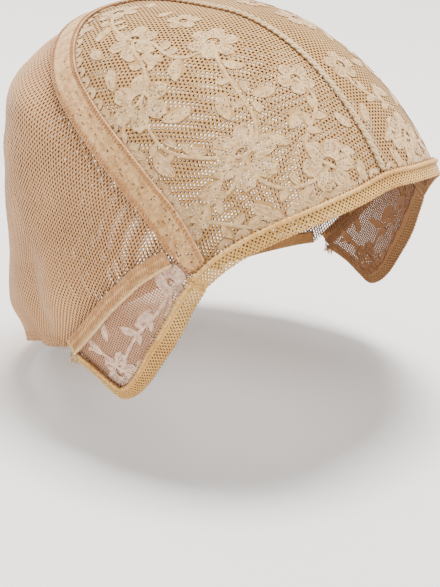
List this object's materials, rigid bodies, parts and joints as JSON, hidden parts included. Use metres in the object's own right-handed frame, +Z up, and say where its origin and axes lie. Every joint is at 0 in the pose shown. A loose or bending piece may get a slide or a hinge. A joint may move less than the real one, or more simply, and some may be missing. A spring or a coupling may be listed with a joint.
{
  "type": "wig cap",
  "caption": "Stretch wig cap of flower lace and net, with a front hem, a tape across the crown and a bound lace tab before each ear.",
  "frame": {"origin": "inside of the crown, where the cap sits on the top of the head", "axes": "+Z up, the wearer's face towards -Y, the wearer's right towards -X"},
  "size_m": [0.1588, 0.1785, 0.1583],
  "materials": {
    "flower_lace": "matte beige net with cream flowers",
    "tab_lace": "fine matte pinkish beige net",
    "stretch_net": "soft peach beige stretch net",
    "sewn_tape": "soft peach tape with stitched edges",
    "knitted_hem": "honey knitted elastic",
    "seam_thread": "pale overlocked thread"
  },
  "bodies": {
    "root": {"cross_band": "sewn_tape", "front_hem": "knitted_hem", "crown_seam": "seam_thread", "back_net": "stretch_net", "nape_hem": "sewn_tape", "crown_lace_right": "flower_lace", "crown_lace_left": "flower_lace", "tab_tape_right": "sewn_tape", "tab_tape_left": "sewn_tape", "tab_binding_right": "knitted_hem", "tab_binding_left": "knitted_hem", "tab_lace_right": "tab_lace", "tab_lace_left": "tab_lace"}
  },
  "joints": []
}
